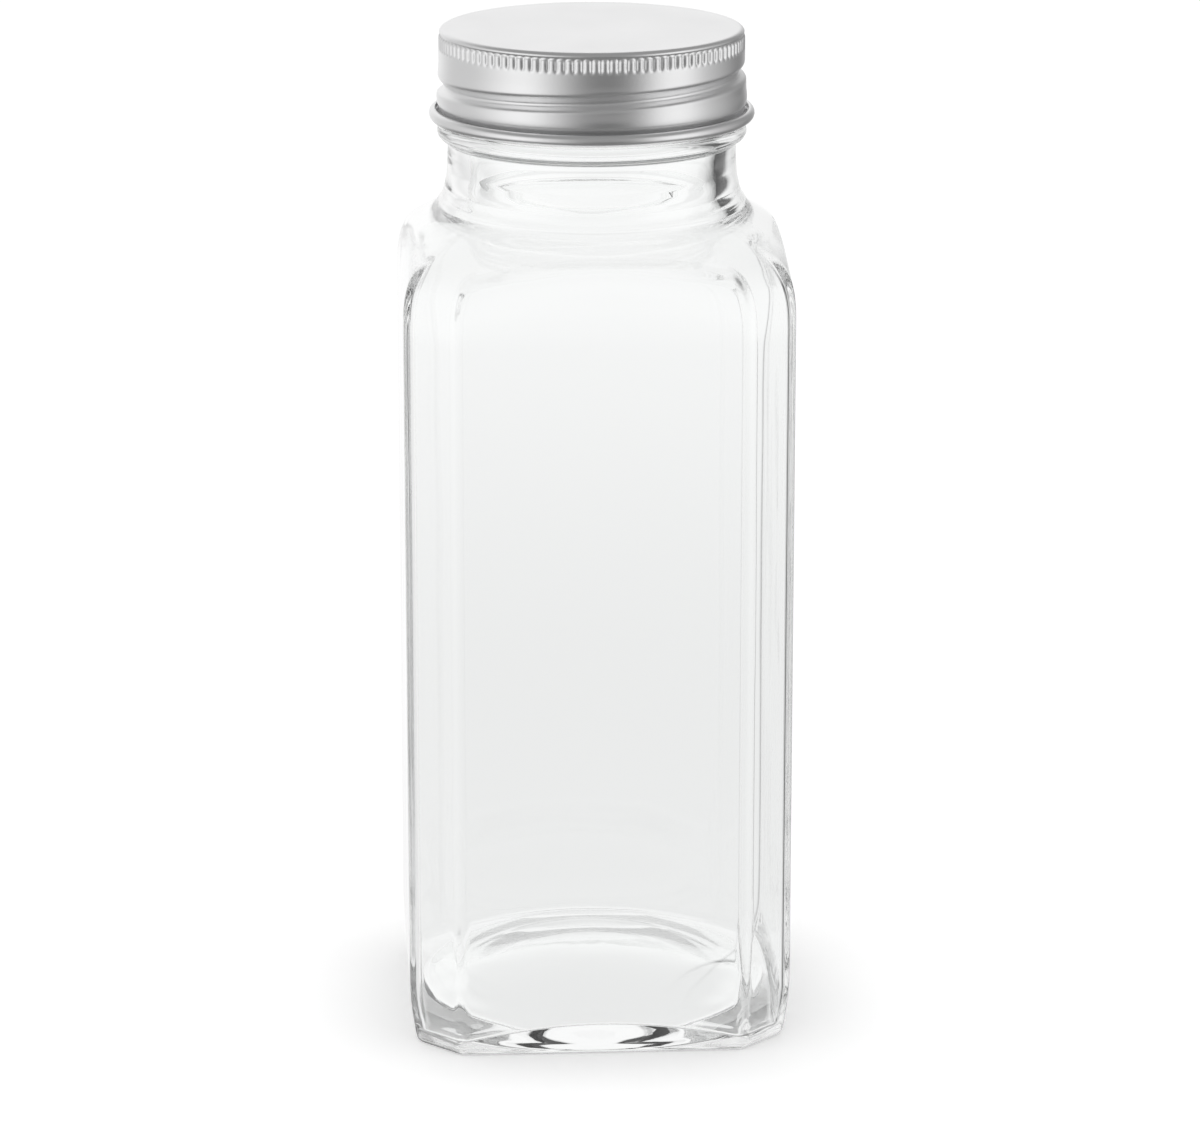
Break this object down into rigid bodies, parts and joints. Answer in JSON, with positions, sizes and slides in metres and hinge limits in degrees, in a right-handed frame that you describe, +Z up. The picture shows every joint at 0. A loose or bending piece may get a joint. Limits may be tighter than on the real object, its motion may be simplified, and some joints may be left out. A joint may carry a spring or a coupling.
{
  "type": "spice jar",
  "caption": "Tall square clear glass spice jar with bevelled corners, rounded shoulder, round neck and a foam-lined aluminium screw lid.",
  "frame": {"origin": "middle of the base, on the surface that the jar stands on", "axes": "+Z up along the neck and the lid's axis; the four wide sides face +X, +Y, -X and -Y, and the pictured side faces -Y"},
  "size_m": [0.055, 0.055, 0.1446],
  "materials": {
    "clear_glass": "clear, polished",
    "satin_aluminium": "satin, clear lacquered",
    "white_foam": "fine closed-cell foam"
  },
  "bodies": {
    "jar": {"jar_glass": "clear_glass"},
    "liner": {"lid_liner": "white_foam"},
    "lid": {"lid_shell": "satin_aluminium"}
  },
  "joints": [
    {"name": "lid_lift", "type": "slide", "parent": "jar", "child": "liner", "axis": [0, 0, 1], "range_m": [0, 0.0053]},
    {"name": "lid_turn", "type": "hinge", "parent": "liner", "child": "lid", "pos_m": [0, 0, 0.138], "axis": [0, 0, 1], "range_deg": [0, 450]}
  ],
  "couplings": [
    {"joint": "lid_lift", "follows": "lid_turn", "m_per_rad": 0.00067375}
  ]
}
